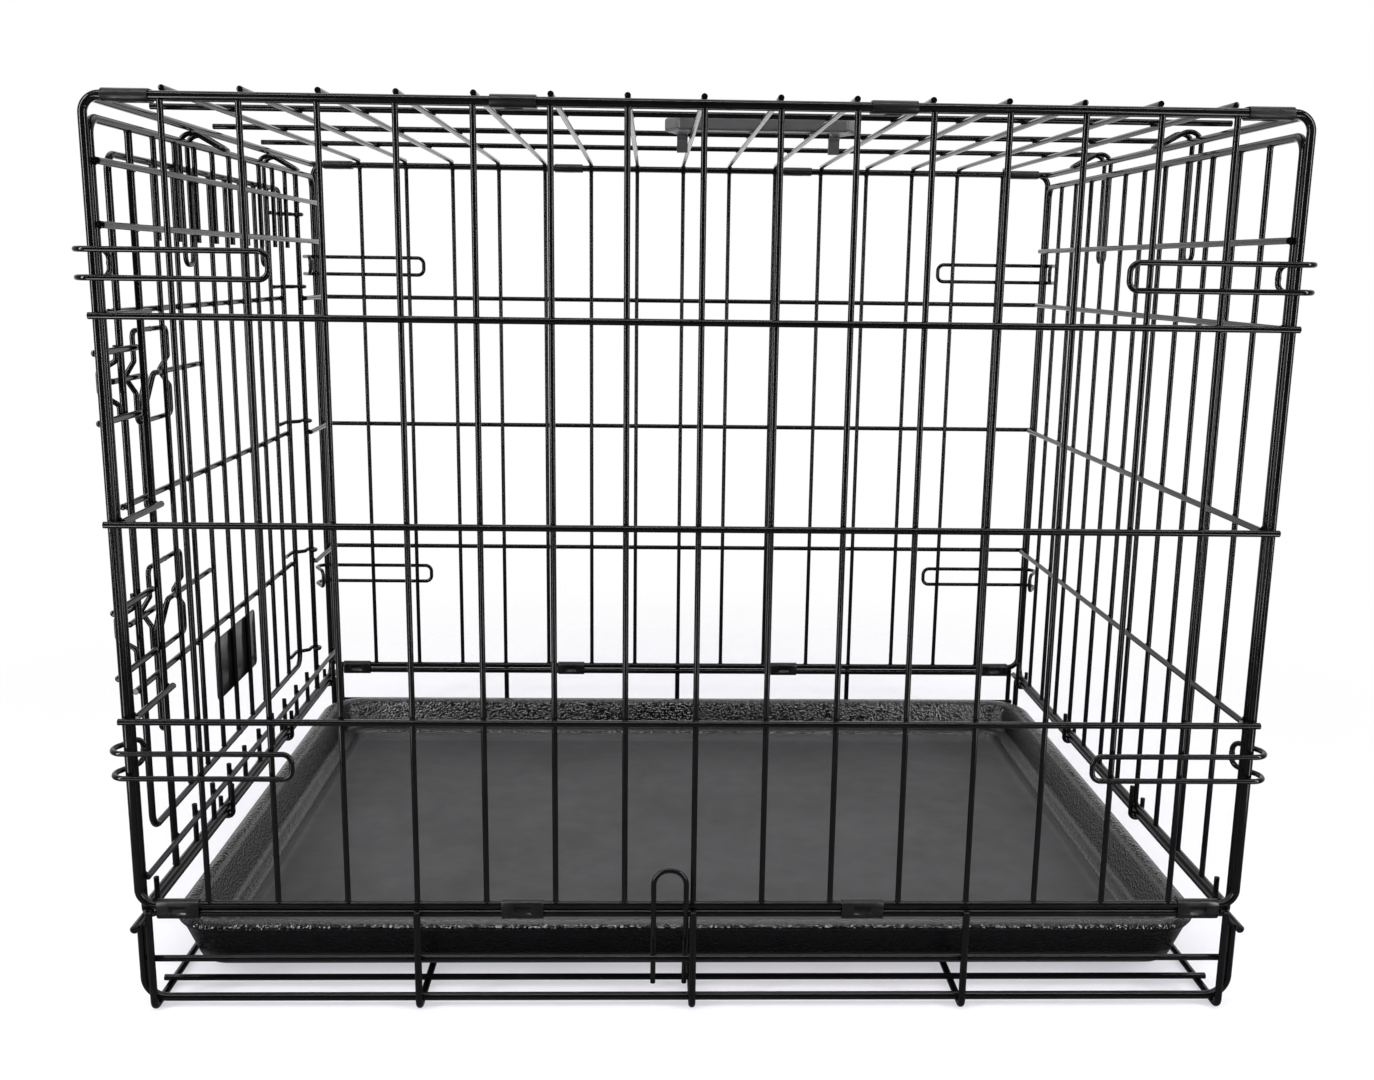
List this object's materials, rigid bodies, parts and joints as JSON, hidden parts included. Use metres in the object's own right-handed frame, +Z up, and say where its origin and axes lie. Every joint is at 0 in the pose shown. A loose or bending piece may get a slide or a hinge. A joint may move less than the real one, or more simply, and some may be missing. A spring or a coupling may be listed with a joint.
{
  "type": "folding dog crate",
  "caption": "Wire dog crate with hinged fold-in end panels, a side-hinged end door with slide bolts, hook clips, a slide-out floor pan and a carry handle.",
  "frame": {"origin": "on the floor below the middle of the crate's overall box", "axes": "+X along the crate's length to the end without a door, +Y from front to back, +Z up"},
  "size_m": [0.6408, 0.48, 0.5041],
  "materials": {
    "black_wire": "semi-gloss black coating",
    "clip_steel": "satin black coated sheet",
    "pan_plastic": "moulded, fine texture",
    "handle_plastic": "satin",
    "plate_plastic": "bare, glossy"
  },
  "bodies": {
    "crate_frame": {"back_bottom_clips": "clip_steel", "back_panel_frame": "black_wire", "back_panel_rows": "black_wire", "back_panel_uprights": "black_wire", "back_top_clips": "clip_steel", "base_back_hinge_rail": "black_wire", "base_back_rail": "black_wire", "base_back_skirt_wire": "black_wire", "base_cross_wires": "black_wire", "base_floor_wires": "black_wire", "base_front_hinge_rail": "black_wire", "base_front_rail": "black_wire", "base_front_skirt_wire": "black_wire", "base_left_end_rail": "black_wire", "base_right_end_rail": "black_wire", "front_bottom_clips": "clip_steel", "front_panel_frame": "black_wire", "front_panel_rows": "black_wire", "front_panel_uprights": "black_wire", "front_top_clips": "clip_steel", "pan_stop_loop": "black_wire", "roof_cross_wires": "black_wire", "roof_frame": "black_wire", "roof_long_wires": "black_wire"},
    "pan": {"floor_pan": "pan_plastic"},
    "left_end": {"left_end_edge_wires": "black_wire", "left_end_feet": "black_wire", "left_end_frame": "black_wire", "left_end_hooks": "black_wire", "left_end_rows": "black_wire", "left_end_short_wires": "black_wire", "latch_keepers": "black_wire"},
    "right_end": {"right_end_frame": "black_wire", "right_end_uprights": "black_wire", "right_end_rows": "black_wire", "right_end_feet": "black_wire"},
    "door": {"door_frame": "black_wire", "door_uprights": "black_wire", "door_rows": "black_wire", "door_hinge_curls": "black_wire", "upper_latch_bracket": "black_wire", "lower_latch_bracket": "black_wire", "label_plate": "plate_plastic"},
    "upper_bolt": {"upper_bolt": "black_wire"},
    "lower_bolt": {"lower_bolt": "black_wire"},
    "handle": {"carry_handle": "handle_plastic"},
    "back_left_lower_hook": {"back_left_lower_hook": "black_wire"},
    "back_left_upper_hook": {"back_left_upper_hook": "black_wire"},
    "back_right_lower_hook": {"back_right_lower_hook": "black_wire"},
    "back_right_upper_hook": {"back_right_upper_hook": "black_wire"},
    "front_left_lower_hook": {"front_left_lower_hook": "black_wire"},
    "front_left_upper_hook": {"front_left_upper_hook": "black_wire"},
    "front_right_lower_hook": {"front_right_lower_hook": "black_wire"},
    "front_right_upper_hook": {"front_right_upper_hook": "black_wire"},
    "right_end_back_hook": {"right_end_back_hook": "black_wire"},
    "right_end_front_hook": {"right_end_front_hook": "black_wire"}
  },
  "joints": [
    {"name": "left_end_fold", "type": "hinge", "parent": "crate_frame", "child": "left_end", "pos_m": [-0.30019, 0, 0.052], "axis": [0, 1, 0], "range_deg": [0, 88]},
    {"name": "right_end_fold", "type": "hinge", "parent": "crate_frame", "child": "right_end", "pos_m": [0.30981, 0, 0.052], "axis": [0, -1, 0], "range_deg": [0, 76]},
    {"name": "door_swing", "type": "hinge", "parent": "left_end", "child": "door", "pos_m": [-0.30019, 0.17195, 0.2755], "axis": [0, 0, 1], "range_deg": [-110, 0]},
    {"name": "upper_bolt_slide", "type": "slide", "parent": "door", "child": "upper_bolt", "axis": [0, 1, 0], "range_m": [-0.016, 0]},
    {"name": "lower_bolt_slide", "type": "slide", "parent": "door", "child": "lower_bolt", "axis": [0, 1, 0], "range_m": [-0.016, 0]},
    {"name": "pan_slide", "type": "slide", "parent": "crate_frame", "child": "pan", "axis": [1, 0, 0], "range_m": [-0.45, 0]},
    {"name": "handle_swing", "type": "hinge", "parent": "crate_frame", "child": "handle", "pos_m": [0.04901, 0, 0.4964], "axis": [-1, 0, 0], "range_deg": [0, 150]},
    {"name": "back_left_lower_hook_swing", "type": "hinge", "parent": "crate_frame", "child": "back_left_lower_hook", "pos_m": [-0.30019, 0.23, 0.144], "axis": [0, 0, 1], "range_deg": [0, 60]},
    {"name": "back_left_upper_hook_swing", "type": "hinge", "parent": "crate_frame", "child": "back_left_upper_hook", "pos_m": [-0.30019, 0.23, 0.408], "axis": [0, 0, 1], "range_deg": [0, 60]},
    {"name": "back_right_lower_hook_swing", "type": "hinge", "parent": "crate_frame", "child": "back_right_lower_hook", "pos_m": [0.30981, 0.23, 0.144], "axis": [0, 0, -1], "range_deg": [0, 60]},
    {"name": "back_right_upper_hook_swing", "type": "hinge", "parent": "crate_frame", "child": "back_right_upper_hook", "pos_m": [0.30981, 0.23, 0.408], "axis": [0, 0, -1], "range_deg": [0, 60]},
    {"name": "front_left_lower_hook_swing", "type": "hinge", "parent": "crate_frame", "child": "front_left_lower_hook", "pos_m": [-0.30019, -0.23, 0.144], "axis": [0, 0, -1], "range_deg": [0, 60]},
    {"name": "front_left_upper_hook_swing", "type": "hinge", "parent": "crate_frame", "child": "front_left_upper_hook", "pos_m": [-0.30019, -0.23, 0.408], "axis": [0, 0, -1], "range_deg": [0, 60]},
    {"name": "front_right_lower_hook_swing", "type": "hinge", "parent": "crate_frame", "child": "front_right_lower_hook", "pos_m": [0.30981, -0.23, 0.144], "axis": [0, 0, 1], "range_deg": [0, 60]},
    {"name": "front_right_upper_hook_swing", "type": "hinge", "parent": "crate_frame", "child": "front_right_upper_hook", "pos_m": [0.30981, -0.23, 0.408], "axis": [0, 0, 1], "range_deg": [0, 60]},
    {"name": "right_end_back_hook_swing", "type": "hinge", "parent": "crate_frame", "child": "right_end_back_hook", "pos_m": [0.30981, 0.09406, 0.489], "axis": [0, -1, 0], "range_deg": [0, 65]},
    {"name": "right_end_front_hook_swing", "type": "hinge", "parent": "crate_frame", "child": "right_end_front_hook", "pos_m": [0.30981, -0.07166, 0.489], "axis": [0, -1, 0], "range_deg": [0, 65]}
  ]
}
